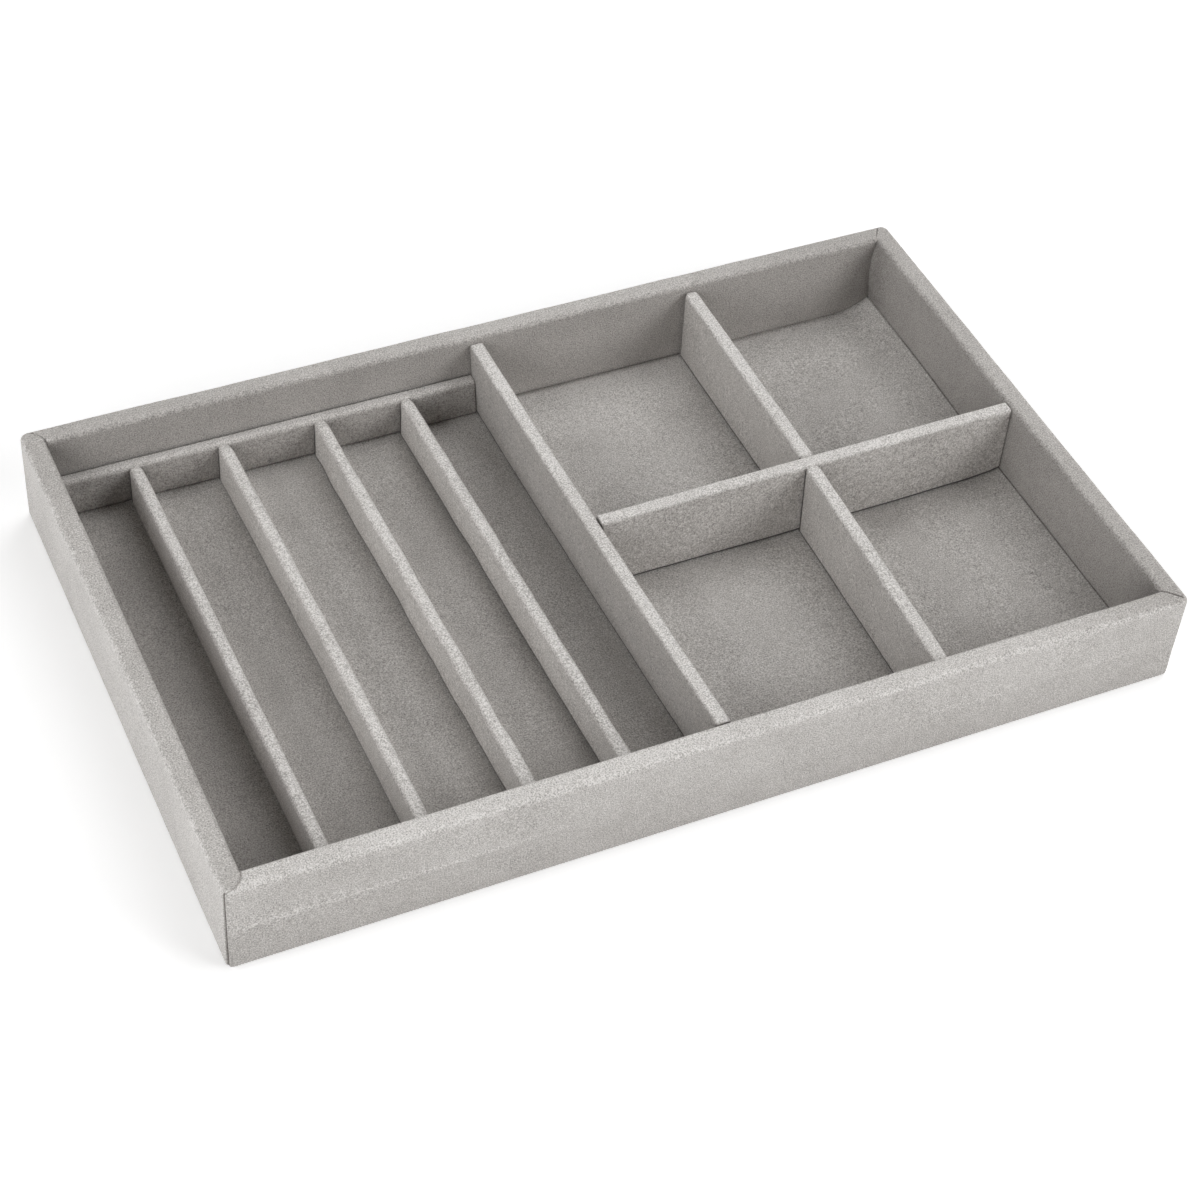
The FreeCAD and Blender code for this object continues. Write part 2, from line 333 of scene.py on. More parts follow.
def wrapBlank(box, s):
    low, high = box
    bm = bmesh.new()
    bmesh.ops.create_cube(bm, size=1.0)
    bmesh.ops.scale(bm, vec=high - low, verts=bm.verts)
    bmesh.ops.translate(bm, vec=(low + high) / 2, verts=bm.verts)

    # Rim, then the flap down inside it
    lid = max(bm.faces, key=lambda f: f.calc_center_median().z)
    bmesh.ops.inset_region(bm, faces=[lid], thickness=s["wall"], use_even_offset=True)
    flapEdges = lid.edges[:]
    bmesh.ops.delete(bm, geom=[lid], context="FACES_ONLY")
    grown = bmesh.ops.extrude_edge_only(bm, edges=flapEdges)["geom"]
    foot = [v for v in grown if isinstance(v, bmesh.types.BMVert)]
    bmesh.ops.translate(bm, vec=(0, 0, s["flapFoot"] - high.z), verts=foot)

    # Turn-in under the base
    underside = min(bm.faces, key=lambda f: f.calc_center_median().z)
    bmesh.ops.inset_region(bm, faces=[underside], thickness=s["turnIn"], use_even_offset=True)
    bmesh.ops.delete(bm, geom=[underside], context="FACES_ONLY")

    # Each corner becomes a piece of its own with no mitre edge, so that its roundings run clean
    away = s["turnIn"] + s["beyondTurnIn"]
    cutAcross(bm, 0, [low.x + away, high.x - away])
    cutAcross(bm, 1, [low.y + away, high.y - away])
    mitres = []
    for edge in bm.edges:
        run = edge.verts[0].co - edge.verts[1].co
        if abs(run.z) < samePlace and abs(abs(run.x) - abs(run.y)) < samePlace:
            mitres.append(edge)
    bmesh.ops.dissolve_edges(bm, edges=mitres)
    bm.normal_update()
    return bm


def bevelEdges(bm, edges, radius, segments):
    bmesh.ops.bevel(bm, geom=edges, offset=radius, offset_type="OFFSET", affect="EDGES", segments=segments,
                    profile=0.5, material=-1)
    bm.normal_update()


# Edges between an upright face and a level one, at a height, on the outside or the inside of the wall
def levelEdges(bm, z, outside):
    found = []
    for edge in bm.edges:
        if len(edge.link_faces) != 2 or any(abs(v.co.z - z) > samePlace for v in edge.verts):
            continue
        upright = [f for f in edge.link_faces if abs(f.normal.z) < 0.5]
        if len(upright) == 1:
            middle = upright[0].calc_center_median()
            faces = upright[0].normal.dot(Vector((middle.x, middle.y, 0)))
            if (faces > 0) == outside:
                found.append(edge)
    return found


def roundWrap(bm, box, s):
    low, high = box
    for x, y in ((low.x, low.y), (high.x, low.y), (high.x, high.y), (low.x, high.y)):
        corner = [e for e in bm.edges
                  if all(abs(v.co.x - x) < samePlace and abs(v.co.y - y) < samePlace for v in e.verts)]
        closing = x == low.x and y == low.y
        radius = s["seamCornerRadius"] if closing else s["cornerRadius"]
        bevelEdges(bm, corner, radius, s["seamCornerSegments"] if closing else s["cornerSegments"])
    bevelEdges(bm, levelEdges(bm, high.z, True), s["rimRadius"], s["rimSegments"])
    bevelEdges(bm, levelEdges(bm, high.z, False), s["rimRadius"], s["rimSegments"])
    bevelEdges(bm, levelEdges(bm, low.z, True), s["hemRadius"], s["hemSegments"])


# A fine net of cuts where the seams cross the rim, so that the cloth can dip into them
def netCorners(bm, box, s):
    low, high = box
    reach = s["seamReach"]
    steps = [s["seamStep"] * i for i in range(1, int(reach / s["seamStep"]))]
    for cornerX, inwardsX in ((low.x, 1), (high.x, -1)):
        for cornerY, inwardsY in ((low.y, 1), (high.y, -1)):
            middles = {f: f.calc_center_median() for f in bm.faces}
            faces = [f for f, middle in middles.items()
                     if abs(middle.x - cornerX) < reach and abs(middle.y - cornerY) < reach
                     and middle.z > high.z - s["seamDepth"]]
            geom = cutAcross(bm, 0, [cornerX + inwardsX * step for step in steps], withEdges(faces))
            cutAcross(bm, 1, [cornerY + inwardsY * step for step in steps], geom)


# How far a point lies inwards from each side of the tray
def distances(co, box):
    low, high = box
    return {"front": co.y - low.y, "rear": high.y - co.y, "left": co.x - low.x, "right": high.x - co.x}


# Signed distance in plan from a corner's seam, positive on the side that lies on top, and the seam's strength
# there. x and y are measured inwards from the outside corner.
def tabSeam(x, y, share, s):
    dx, dy = x - s["tabInset"], y - s["wall"]
    distance = s["tabRadius"] - math.hypot(max(dx, 0.0), min(dy, 0.0))
    return distance, share * smoothStep(dx, *s["tabStart"])


def straightSeam(x, y, angle, share, land, s):
    slope = math.radians(angle)
    dx, dy = x - s["wall"], y - s["wall"]
    distance = dx * math.sin(slope) - dy * math.cos(slope)
    inwards = min(x, y)
    ease = 1 - s["seamEase"] * smoothStep(inwards, land, s["wall"])
    return distance, share * ease * smoothStep(inwards, land - s["seamStart"], land)


# The corner seam beside a point of the rim, with the sides whose cloth lies on top and beneath
def seamAt(co, box, s):
    low, high = box
    x, y = min(co.x - low.x, high.x - co.x), min(co.y - low.y, high.y - co.y)
    if max(x, y) > s["wall"] + s["seamBeyond"]:
        return None
    lengthSide = "front" if co.y < 0 else "rear"
    if co.x < 0:
        return tabSeam(x, y, s["tabSeamShare"][lengthSide], s), "left", lengthSide
    share, land = s["straightSeamShare"][lengthSide], s["seamLand"][lengthSide]
    if lengthSide == "front":
        return straightSeam(x, y, s["frontRightAngle"], share, land, s), "front", "right"
    return straightSeam(x - s["rearRightShift"], y, s["rearRightAngle"], share, land, s), "rear", "right"


def seamDip(distance, strength, s):
    dip = s["seamDrop"] * math.exp(-(distance / s["seamWidth"]) ** 2)
    lift = s["tabLift"] * math.exp(-distance / s["tabFade"]) if distance > 0 else 0.0
    return (lift - dip) * strength


# Depth of the closing seam's groove beside a point, from 0 to 1. It opens a little towards the foot.
def closingGroove(co, fromLeft, fromFront, s):
    across = (fromLeft - fromFront) / math.sqrt(2) + s["closingShift"]
    width = s["closingWidth"] + s["closingFlare"] * (1 - smoothStep(co.z, *s["closingFlareMm"]))
    return math.exp(-(across / width) ** 2)


# How strong the front face's fold line is beside a point, and how far above it the point lies
def creaseAt(co, fromLeft, s):
    strength = 1 - smoothStep(fromLeft, *s["creaseLeftMm"])
    strength += s["creaseRight"] * smoothStep(fromLeft, *s["creaseRightMm"])
    sway = s["creaseSway"] * unevenness(co.x, 0, seed=4, size=s["creaseSwayMm"])
    return strength, co.z - s["creaseHeight"] - sway


# The nap runs one way along the strip, so it takes the light differently on each side of the tray, and
# painted
# light and shade add to it: each side, the rim along its length and the front face up its height are lighter
# or darker as the light falls. Painted shade lies in the seams and down the inside corners, where the flaps
# meet.
def wrapNapAndShade(vert, box, s):
    high = box[1]
    co, normal = vert.co, vert.normal
    fromSide = distances(co, box)
    side = min(fromSide, key=fromSide.get)
    onTop = normal.z > s["seamTilt"][0]
    corner = seamAt(co, box, s) if onTop else None
    if corner:
        (distance, strength), upperSide, lowerSide = corner
        side = upperSide if distance > 0 else lowerSide
    outside = normal.dot(Vector((co.x, co.y, 0))) > 0
    level = s["rimNapAndLight"][side] + between(s["rimRun"][side], co.x if side in ("front", "rear") else co.y)
    upright = s["faceNapAndLight"][side] if outside else s["flapNapAndShade"][side]
    if side == "front" and outside:
        upright += between(s["frontFaceRun"], co.z)
    napAndShade = byTilt(vert, level, upright)
    if corner:
        napAndShade += s["seamPaintedShade"] * strength * math.exp(-(distance / s["seamWidth"]) ** 2)
    if onTop and side == "left":
        napAndShade -= s["leftRimRearShade"] * smoothStep(co.y, s["leftRimRearShadeFrom"], high.y)
    if max(fromSide["left"], fromSide["front"]) < s["closingReach"] and normal.z < s["closingTilt"]:
        napAndShade += s["closingPaintedShade"] * closingGroove(co, fromSide["left"], fromSide["front"], s)
    if fromSide["front"] < s["creaseNapMm"]:
        napAndShade += creaseHighlightAndShade(co, fromSide["left"], s)
    if not outside:
        return napAndShade + flapPaintedShade(vert, fromSide, side, high.z, s)
    # Painted highlight on the round edge of the rim, where the nap also stands upright
    tilt = max(normal.z, 0.0)
    return napAndShade + s["edgeNapAndHighlight"] * 4 * tilt * (1 - tilt)


# Painted highlight along the fold line, and painted shade just below it
def creaseHighlightAndShade(co, fromLeft, s):
    bandFoot, bandTop = s["creaseBandMm"]
    if not bandFoot < co.z < bandTop:
        return 0.0
    strength, above = creaseAt(co, fromLeft, s)
    line = math.exp(-abs(above) / s["creaseWidth"])
    shade = smoothStep(-above, *s["creaseShadeMm"]) * (1 - smoothStep(-above, *s["creaseShadeEndMm"]))
    return s["creasePaintedHighlight"] * strength * (line - s["creaseShade"] * shade)


# Painted shade towards the inside corners and in their seams, and painted light at the foot of the rear flap
def flapPaintedShade(vert, fromSide, side, top, s):
    co, tilt = vert.co, vert.normal.z
    acrossX, acrossY = min(fromSide["left"], fromSide["right"]), min(fromSide["front"], fromSide["rear"])
    fromCorner = max(acrossX, acrossY) - s["wall"]
    napAndShade = s["flapCornerPaintedShade"] * (1 - smoothStep(fromCorner, *s["flapCornerMm"])) * (1 - abs(tilt))
    inSeam = min(acrossX, acrossY) < s["wall"] - s["innerSeamFrom"]
    if inSeam and co.z < top - s["innerSeamTop"] and tilt < s["innerSeamTilt"]:
        napAndShade += s["innerSeamPaintedShade"]
    if side == "rear":
        napAndShade += s["flapFootPaintedLight"] * (1 - smoothStep(co.z, *s["flapFootMm"]))
    return napAndShade


# How far the cloth stands out from its place: unevenness, the fold line, and the seams' grooves
def wrapRelief(co, normal, fromSide, box, s):
    low, high = box
    along = co.x + co.y
    if normal.dot(Vector((co.x, co.y, 0))) > 0:
        wave = s["faceWave"] * unevenness(along, co.z * s["faceWaveRise"], seed=1, size=s["faceWaveMm"])
    else:
        wave = s["flapWave"] * unevenness(along, co.z, seed=3, size=s["flapWaveMm"])
    nearest = min(fromSide.values())
    rimWave = s["rimWave"] * unevenness(along, nearest * s["rimWaveAcross"], seed=2, size=s["rimWaveMm"])
    onRim = smoothStep(normal.z, *s["rimTilt"])
    calmFrom, calmTo = s["calmHemMm"]
    out = (wave * (1 - onRim) + rimWave * onRim) * smoothStep(co.z, low.z + calmFrom, low.z + calmTo)

    # A fold line runs along the front face, strong at the left and faint at the right
    bandFoot, bandTop = s["creaseBandMm"]
    if fromSide["front"] < s["creaseFaceMm"] and bandFoot < co.z < bandTop:
        strength, above = creaseAt(co, fromSide["left"], s)
        ridge = math.exp(-abs(above) / s["creaseWidth"])
        belly = max(0.0, 1 - abs(above) / s["creaseBelly"])
        out += s["creaseRise"] * strength * (ridge + belly) / 2

    # Seams over the rim
    if co.z > high.z - s["seamDepth"] and normal.z > s["seamTilt"][0]:
        corner = seamAt(co, box, s)
        if corner:
            out += seamDip(*corner[0], s) * smoothStep(normal.z, *s["seamTilt"])

    # The strip's two ends meet just round the front left corner
    nearClosing = max(fromSide["left"], fromSide["front"]) < s["closingReach"]
    if nearClosing and normal.z < s["closingTilt"] and co.z > low.z + s["closingFoot"]:
        out -= s["closingDrop"] * closingGroove(co, fromSide["left"], fromSide["front"], s)
    return out


def shapeWrap(bm, box, s):
    bm.normal_update()
    moves = {}
    for vert in bm.verts:
        co, normal = vert.co, vert.normal
        fromSide = distances(co, box)
        moves[vert] = normal * wrapRelief(co, normal, fromSide, box, s)

        # The flaps meet in a narrow groove down each inside corner
        acrossX, acrossY = min(fromSide["left"], fromSide["right"]), min(fromSide["front"], fromSide["rear"])
        fromCorner = max(acrossX, acrossY) - s["wall"]
        if max(abs(acrossX - acrossY), abs(fromCorner)) < s["innerSeamFind"]:
            away = Vector((math.copysign(1, co.x), math.copysign(1, co.y), 0))
            moves[vert] += away * s["innerSeamDrop"]

        # The right flap bridges the rear inside corner half way up
        if abs(fromSide["right"] - s["wall"]) < s["bridgeFind"] and normal.x < -0.5:
            bridge = smoothStep(co.z, *s["bridgeRiseMm"]) * (1 - smoothStep(co.z, *s["bridgeFallMm"]))
            bridge *= s["bridge"] * (1 - smoothStep(fromSide["rear"] - s["wall"], 0, s["bridgeReach"]))
            moves[vert] -= Vector((bridge, 0, 0))
    for vert, move in moves.items():
        vert.co += move


def wallWrap(s):
    box = nodeBox("wall_wrap")
    low, high = box
    bm = wrapBlank(box, s)
    roundWrap(bm, box, s)
    cutAcross(bm, 0, evenPlaces(low.x, high.x, s["gridStep"]))
    cutAcross(bm, 1, evenPlaces(low.y, high.y, s["gridStep"]))
    cutAcross(bm, 2, evenPlaces(low.z + s["aboveHem"], high.z - s["belowRim"], s["heightStep"]))
    netFoot, netTop = s["creaseNetMm"]
    middles = {f: f.calc_center_median() for f in bm.faces}
    faces = [f for f, middle in middles.items()
             if middle.y < low.y + s["creaseNetFace"] and netFoot < middle.z < netTop]
    crease, reach = s["creaseHeight"], s["creaseNetReach"]
    cutAcross(bm, 2, evenPlaces(crease - reach, crease + reach, s["creaseNetStep"]), withEdges(faces))
    beside = s["wall"] + s["innerSeamStep"]
    cutAcross(bm, 0, [low.x + beside, high.x - beside])
    cutAcross(bm, 1, [low.y + beside, high.y - beside])
    netCorners(bm, box, s)
    shapeWrap(bm, box, s)
    paintNapAndShade(bm, lambda vert: wrapNapAndShade(vert, box, s))
    wrap = finishPiece("wall_wrap_cloth", bm, suede, "wall_wrap")
    giveThickness(wrap, skinThickness)
    print("wall wrap:", len(wrap.data.polygons), "faces")


wallWrap(wrapSettings)


# From a divider's CAD cover: the two ends of its centre line on the floor, its thickness, the heights of its
# foot and top, and how far its top leans to the left, seen along the line
def dividerLine(node, axis):
    endBand = 0.3
    points = [v.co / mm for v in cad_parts[node].data.vertices]
    bottom, top = min(p.z for p in points), max(p.z for p in points)
    feet = [p for p in points if p.z < bottom + samePlace]
    crown = [p for p in points if p.z > top - samePlace]
    ends = []
    for end in (min(p[axis] for p in feet), max(p[axis] for p in feet)):
        across = [p[1 - axis] for p in feet if abs(p[axis] - end) < endBand]
        middle = (min(across) + max(across)) / 2
        ends.append(Vector((end, middle, 0)) if axis == 0 else Vector((middle, end, 0)))
        thickness = max(across) - min(across)
    footSide, crownSide = [[p[1 - axis] for p in level] for level in (feet, crown)]
    lean = (min(crownSide) + max(crownSide) - min(footSide) - max(footSide)) / 2
    return {"ends": ends, "thickness": thickness, "bottom": bottom, "top": top,
            "lean": lean if axis == 0 else -lean}


# Floor cloth: one sheet under all the dividers. Its card has bowed up towards the right wall, and most of all
# in the rear right corner.
floorSettings = {
    "step": 2.5, "stepAcross": 1.25, "wave": 0.10, "waveMm": 26.0, "edgeDrop": 0.2, "edgeGap": 0.05,
    "rightReach": 0.4, "rearReach": 0.3, "bowedFromX": (85.0, 110.0),
    # The right line is a painted shadow along the right wall, and the tables after it paint light and shade
    # on the floor cloth
    "rightLine": 0.45, "lineStep": 0.1, "lineEase": 0.05,
    "paintedLineShade": [(-104, -1.6), (-80, -2.6), (20, -2.9), (65, -2.7), (102, -0.9)],
    "nap": [(0, 0.5), (60, 0.62), (110, 0.25), (167, 0.15)],
    "rearWallPaintedLight": [(0, 3.0), (3, 2.1), (8, 1.5), (15, 0.9), (32, 0.0)],
    "frontPaintedShadow": [(-80, -0.6), (-70, -0.4), (-58, 0.0)],
    "railPaintedLight": [(0, 2.0), (3, 1.4), (8, 1.0), (15, 0.5), (30, 0.0)],
    "channelLightAndShade": [
        [(0, 0.6), (1.2, 0.5), (5, -0.75), (10, -1.35), (15, -1.5), (30, -1.2)],
        [(0, -0.4), (4, -0.3), (30, -0.25)],
        [(0, -0.7), (4, -0.45), (8, -0.1), (14, 0.2), (32, 0.15)],
        [(0, -1.8), (2, -1.3), (4, -0.9), (7, -0.2), (12, 0.1), (30, 0.0)],
        [(0, -0.5), (4, 0.0), (6, 0.2), (9, 0.8), (11, 1.4), (14, 1.6), (16, 1.4), (19, 0.8), (27, 0.7)],
    ],
}
bowSettings = {
    "wall": 167.0, "broadRise": 1.9, "broadFrom": 60.0, "broadPower": 1.2, "broadToY": (0.0, 100.0),
    "edgeRise": 1.7, "edgeReach": 21.0, "edgePower": 3, "cornerRise": 5.5, "cornerFromY": (-5.0, 80.0),
}


# How far the floor stands above its place in the CAD
def floorRise(x, y, s):
    fromLeft = max(0.0, x - s["broadFrom"]) / (s["wall"] - s["broadFrom"])
    fromEdge = max(0.0, 1 - (s["wall"] - x) / s["edgeReach"])
    broad = s["broadRise"] * fromLeft ** s["broadPower"] * (1 - smoothStep(y, *s["broadToY"]))
    edge = s["edgeRise"] + (s["cornerRise"] - s["edgeRise"]) * smoothStep(y, *s["cornerFromY"])
    return broad + edge * fromEdge ** s["edgePower"]


# Painted light and shade by how far a place lies from the front and from the rear wall or the rail, across
# the cells, and in a channel from the divider at its right: darker near the front wall, lighter near the rear
# wall and the rail
def floorLightAndShade(co, lines, railFace, wall, s):
    front = between(s["frontPaintedShadow"], co.y)
    for table, line in zip(s["channelLightAndShade"], lines):
        start, end = line["ends"]
        t = (co.y - start.y) / (end.y - start.y)
        toMiddle = start.x + (end.x - start.x) * t - co.x
        if toMiddle > 0:
            channel = between(table, toMiddle - line["thickness"] / 2)
            return front + channel + between(s["railPaintedLight"], railFace - co.y)
    return front + between(s["nap"], co.x) + between(s["rearWallPaintedLight"], wall - co.y)


def floorCloth(s):
    low, high = nodeBox("floor_cloth")
    size = high - low - 2 * Vector((s["edgeGap"], s["edgeGap"], 0))
    bm = bmesh.new()
    columns, rows = round(size.x / s["stepAcross"]), round(size.y / s["step"])
    bmesh.ops.create_grid(bm, x_segments=columns, y_segments=rows, size=0.5)
    bmesh.ops.scale(bm, vec=(size.x, size.y, 1.0), verts=bm.verts)
    bmesh.ops.translate(bm, vec=((low.x + high.x) / 2, (low.y + high.y) / 2, high.z), verts=bm.verts)
    # The cloth is cut where a painted shadow line along the right wall begins
    shadeLineFrom = high.x - s["edgeGap"] - s["rightLine"]
    cutAcross(bm, 0, [shadeLineFrom - s["lineStep"], shadeLineFrom])
    for vert in bm.verts:
        co = vert.co
        bowed = smoothStep(co.x, *s["bowedFromX"])
        edge = min(co.x - low.x, co.y - low.y, high.y - co.y)
        co.z += s["wave"] * unevenness(co.x, co.y, seed=11, size=s["waveMm"])
        co.z += floorRise(co.x, co.y, bowSettings) - s["edgeDrop"] * (1 - bowed) * (edge < s["step"] / 2)
        co.y += s["rearReach"] * bowed * smoothStep(co.y, high.y - 2 * s["step"], high.y - s["edgeGap"])
        co.x += s["rightReach"] * smoothStep(co.x, high.x - 2 * s["step"], high.x - s["edgeGap"])
    shadeLineFrom += s["rightReach"] - s["lineEase"]
    lines = [dividerLine(f"channel_divider_{i}_cover", 1) for i in range(1, 5)]
    lines.append(dividerLine("main_divider_cover", 1))
    rail = dividerLine("channel_rail_cover", 0)
    railFace = rail["ends"][0].y - rail["thickness"] / 2
    # Painted shadow along the right wall, painted light and shade on the rest of the floor
    paintNapAndShade(bm, lambda vert: between(s["paintedLineShade"], vert.co.y) if vert.co.x > shadeLineFrom
           else floorLightAndShade(vert.co, lines, railFace, high.y, s))
    cloth = finishPiece("floor_suede", bm, suede, "floor_cloth")
    giveThickness(cloth, skinThickness)
    print("floor cloth:", len(cloth.data.polygons), "faces")


floorCloth(floorSettings)


# Divider covers. Each has the radii of its two top edges and of its ends, the unevenness of its faces and its
# top, gaps by which the ends stop short of the CAD cover's, or pass them where below nought, a drop that
# rounds the ends down, tapers of the last end's two sides, and a lift of both tops. A slant is how far an
# end's top stands towards the first end, and its power keeps it high up. A bow is to the right at mid length,
# and more lean is to the left. Then come how the nap lies on the faces, with painted shade in it, how much
# painted shade darkens the foot, the ends and the rear, between which distances the ends' painted dark lines
# stop, and how much thinner the cover is at the rear. The first end is the left or the front one.
coverSettings = {
    "endReach": 2.5, "slantReach": 10.0, "step": 2.0, "heightStep": 2.5, "shoulderSegments": 6,
    "endSegments": 4, "footGap": 0.5, "footCutsMm": (0.6, 0.72), "footLineMm": (0.612, 0.72), "footFade": 8.0,
    "faceWaveMm": 15.0, "topWaveMm": 12.0, "topWaveAcross": 4.0, "calmEnds": 6.0, "crownFrom": 0.8,
    # Painted light on the tops, and the painted shade that feet, ends and the rail's rear are pulled towards
    "topPaintedLight": 1.8, "paintedGapShade": -6.0, "rearTilt": (0.4, 0.8),
}
lowCover = {"axis": 1, "radii": (1.5, 1.5), "endRadius": 0.3, "gaps": (0.0, 0.0), "drop": 0.3,
            "tapers": (0.8, 0.0), "lift": (0.0, 0.0), "slants": (0.0, -1.4), "slantPower": 10,
            "bow": 0.0, "moreLean": 0.0, "nap": 0.0, "footShade": 0.8, "endShade": 1.0,
            "endLine": (1.3, 1.6), "rearShade": 0.0, "rearTrim": 0.0}
tallCover = {**lowCover, "radii": (1.2, 1.2), "wave": 0.18, "topWave": 0.15, "drop": 0.15,
             "tapers": (0.0, 0.0), "slants": (0.0, 0.0), "slantPower": 1, "endRadius": 0.8, "nap": -0.6,
             "footShade": 1.0}
covers = {
    "channel_divider_1": {**lowCover, "wave": 0.20, "topWave": 0.20, "footShade": 0.3},
    "channel_divider_2": {**lowCover, "wave": 0.22, "topWave": 0.22, "bow": 0.5, "footShade": 0.6},
    "channel_divider_3": {**lowCover, "wave": 0.48, "topWave": 0.40},
    "channel_divider_4": {**lowCover, "wave": 0.40, "topWave": 0.34},
    "channel_rail": {**lowCover, "axis": 0, "radii": (1.9, 0.8), "wave": 0.16, "topWave": 0.18, "drop": 0.0,
                     "tapers": (0.0, 0.0), "lift": (0.2, 0.2), "slants": (0.0, 1.1), "slantPower": 1,
                     "nap": -1.6, "footShade": 0.4, "endShade": 0.5, "endLine": (0.3, 0.6),
                     "rearShade": 1.0, "rearTrim": 0.35},
    "main_divider": {**tallCover, "endRadius": 0.5, "gaps": (-1.2, 0.0), "bow": -0.75, "moreLean": 0.25,
                     "nap": -1.2, "endShade": 0.6, "endLine": (0.5, 1.3)},
    "cross_divider": {**tallCover, "axis": 0, "endRadius": 0.3, "gaps": (-0.55, 0.0), "lift": (0.4, 1.9),
                      "slants": (2.3, 0.0), "drop": 0.0, "nap": 0.1, "endShade": 0.4, "endLine": (0.3, 0.6)},
    "rear_cell_divider": {**tallCover, "drop": 0.4, "tapers": (0.0, 1.2)},
    "front_cell_divider": {**tallCover, "lift": (0.0, 1.0), "drop": 0.2, "tapers": (0.6, 0.0),
                           "slants": (0.0, -0.8)},
}


# Painted light on the top, and painted shade at the ends, along the foot and on the rail's rear, where little
# light gets in
def coverNapAndShade(vert, atEnd, atFoot, own, s):
    napAndShade = byTilt(vert, s["topPaintedLight"], own["nap"])
    hidden = max(atEnd * own["endShade"] * (1 - max(vert.normal.z, 0.0)), atFoot * own["footShade"])
    hidden = max(hidden, own["rearShade"] * smoothStep(vert.normal.y, *s["rearTilt"]))
    return napAndShade + (s["paintedGapShade"] - napAndShade) * hidden


# A cover along x from the centre line's first end, open at the foot, with its top edges and ends rounded
def coverBlank(first, last, line, own, s):
    bm = bmesh.new()
    bmesh.ops.create_cube(bm, size=1.0)
    foot, top = line["bottom"] + s["footGap"], line["top"]
    bmesh.ops.scale(bm, vec=(last - first, line["thickness"], top - foot), verts=bm.verts)
    bmesh.ops.translate(bm, vec=((first + last) / 2, 0, (top + foot) / 2), verts=bm.verts)
    openFoot = min(bm.faces, key=lambda f: f.calc_center_median().z)
    bmesh.ops.delete(bm, geom=[openFoot], context="FACES_ONLY")
    for side, radius in zip((-1, 1), own["radii"]):
        shoulder = [e for e in bm.edges if abs(e.verts[0].co.x - e.verts[1].co.x) > samePlace
                    and all(v.co.z > top - samePlace and v.co.y * side > 0 for v in e.verts)]
        bevelEdges(bm, shoulder, radius, s["shoulderSegments"])
    ends = [e for e in bm.edges if abs(e.verts[0].co.x - e.verts[1].co.x) < samePlace and not e.is_boundary]
    bevelEdges(bm, ends, own["endRadius"], s["endSegments"])
    cutAcross(bm, 0, evenPlaces(first, last, s["step"]))
    cutAcross(bm, 2, evenPlaces(foot, top - max(own["radii"]), s["heightStep"]))
    cutAcross(bm, 2, [foot + height for height in s["footCutsMm"]])
    for reach in own["endLine"]:
        cutAcross(bm, 0, [first + reach, last - reach])
    return bm


def dividerCover(number, name, own, s):
    line = dividerLine(name + "_cover", own["axis"])
    start, end = line["ends"]
    run = end - start
    length, height, thickness = run.length, line["top"] - line["bottom"], line["thickness"]
    foot = line["bottom"] + s["footGap"]
    first, last = own["gaps"][0], length - own["gaps"][1]
    bm = coverBlank(first, last, line, own, s)

    startLift, endLift = own["lift"]
    atEnd, atFoot = [], []
    for vert in bm.verts:
        co = vert.co
        t, h, side = co.x / length, (co.z - line["bottom"]) / height, co.y / (thickness / 2)
        inside = smoothStep(co.x, 0, s["calmEnds"]) * smoothStep(length - co.x, 0, s["calmEnds"])
        faceSeed = number + (0.5 if side > 0 else 0.0)
        face = unevenness(co.x, co.z, seed=faceSeed, size=s["faceWaveMm"])
        crown = unevenness(co.x, side * s["topWaveAcross"], seed=number + 40, size=s["topWaveMm"])
        fromFirst, fromLast = co.x - first, last - co.x
        atEnd.append(1 - smoothStep(min(fromFirst, fromLast), *own["endLine"]))
        atFoot.append(1 - smoothStep(co.z - foot, *s["footLineMm"]))
        taper = own["tapers"][side > 0] * (1 - smoothStep(fromLast, 0, s["endReach"]))
        co.y += side * (own["wave"] * face * inside - taper) - own["rearTrim"] * max(side, 0.0)
        co.y += (line["lean"] + own["moreLean"]) * h - own["bow"] * (1 - (2 * t - 1) ** 2)
        for slant, distance in zip(own["slants"], (fromFirst, fromLast)):
            co.x -= slant * h ** own["slantPower"] * (1 - smoothStep(distance, 0, s["slantReach"]))
        drop = own["drop"] * (1 - smoothStep(min(fromFirst, fromLast), 0, s["endReach"]))
        co.z += (own["topWave"] * crown - drop) * smoothStep(h, s["crownFrom"], 1.0)
        co.z += (startLift + (endLift - startLift) * t) * h
    bm.verts.index_update()
    paintNapAndShade(bm, lambda v: coverNapAndShade(v, atEnd[v.index], atFoot[v.index], own, s))
    turn = Matrix.Rotation(math.atan2(run.y, run.x), 4, "Z")
    bmesh.ops.transform(bm, matrix=Matrix.Translation(start) @ turn, verts=bm.verts)

    # The foot follows the floor's bow
    for vert in bm.verts:
        low = 1 - smoothStep(vert.co.z, foot + s["footLineMm"][1], foot + s["footFade"])
        vert.co.z += low * floorRise(vert.co.x, vert.co.y, bowSettings)

    cover = finishPiece(name + "_suede", bm, suede, name + "_cover")
    giveThickness(cover, skinThickness)


for number, (name, own) in enumerate(covers.items()):
    dividerCover(number, name, own, coverSettings)
print("covers:", len(covers))


# Felt under the base: thin over the turn-in, full thickness inside it
liningSettings = {"rimHeight": 0.5, "cornerRadius": 4.0, "cornerSegments": 6, "stepInset": 9.2, "step": 6.0,
                  "softEdge": 0.15, "softSegments": 3}


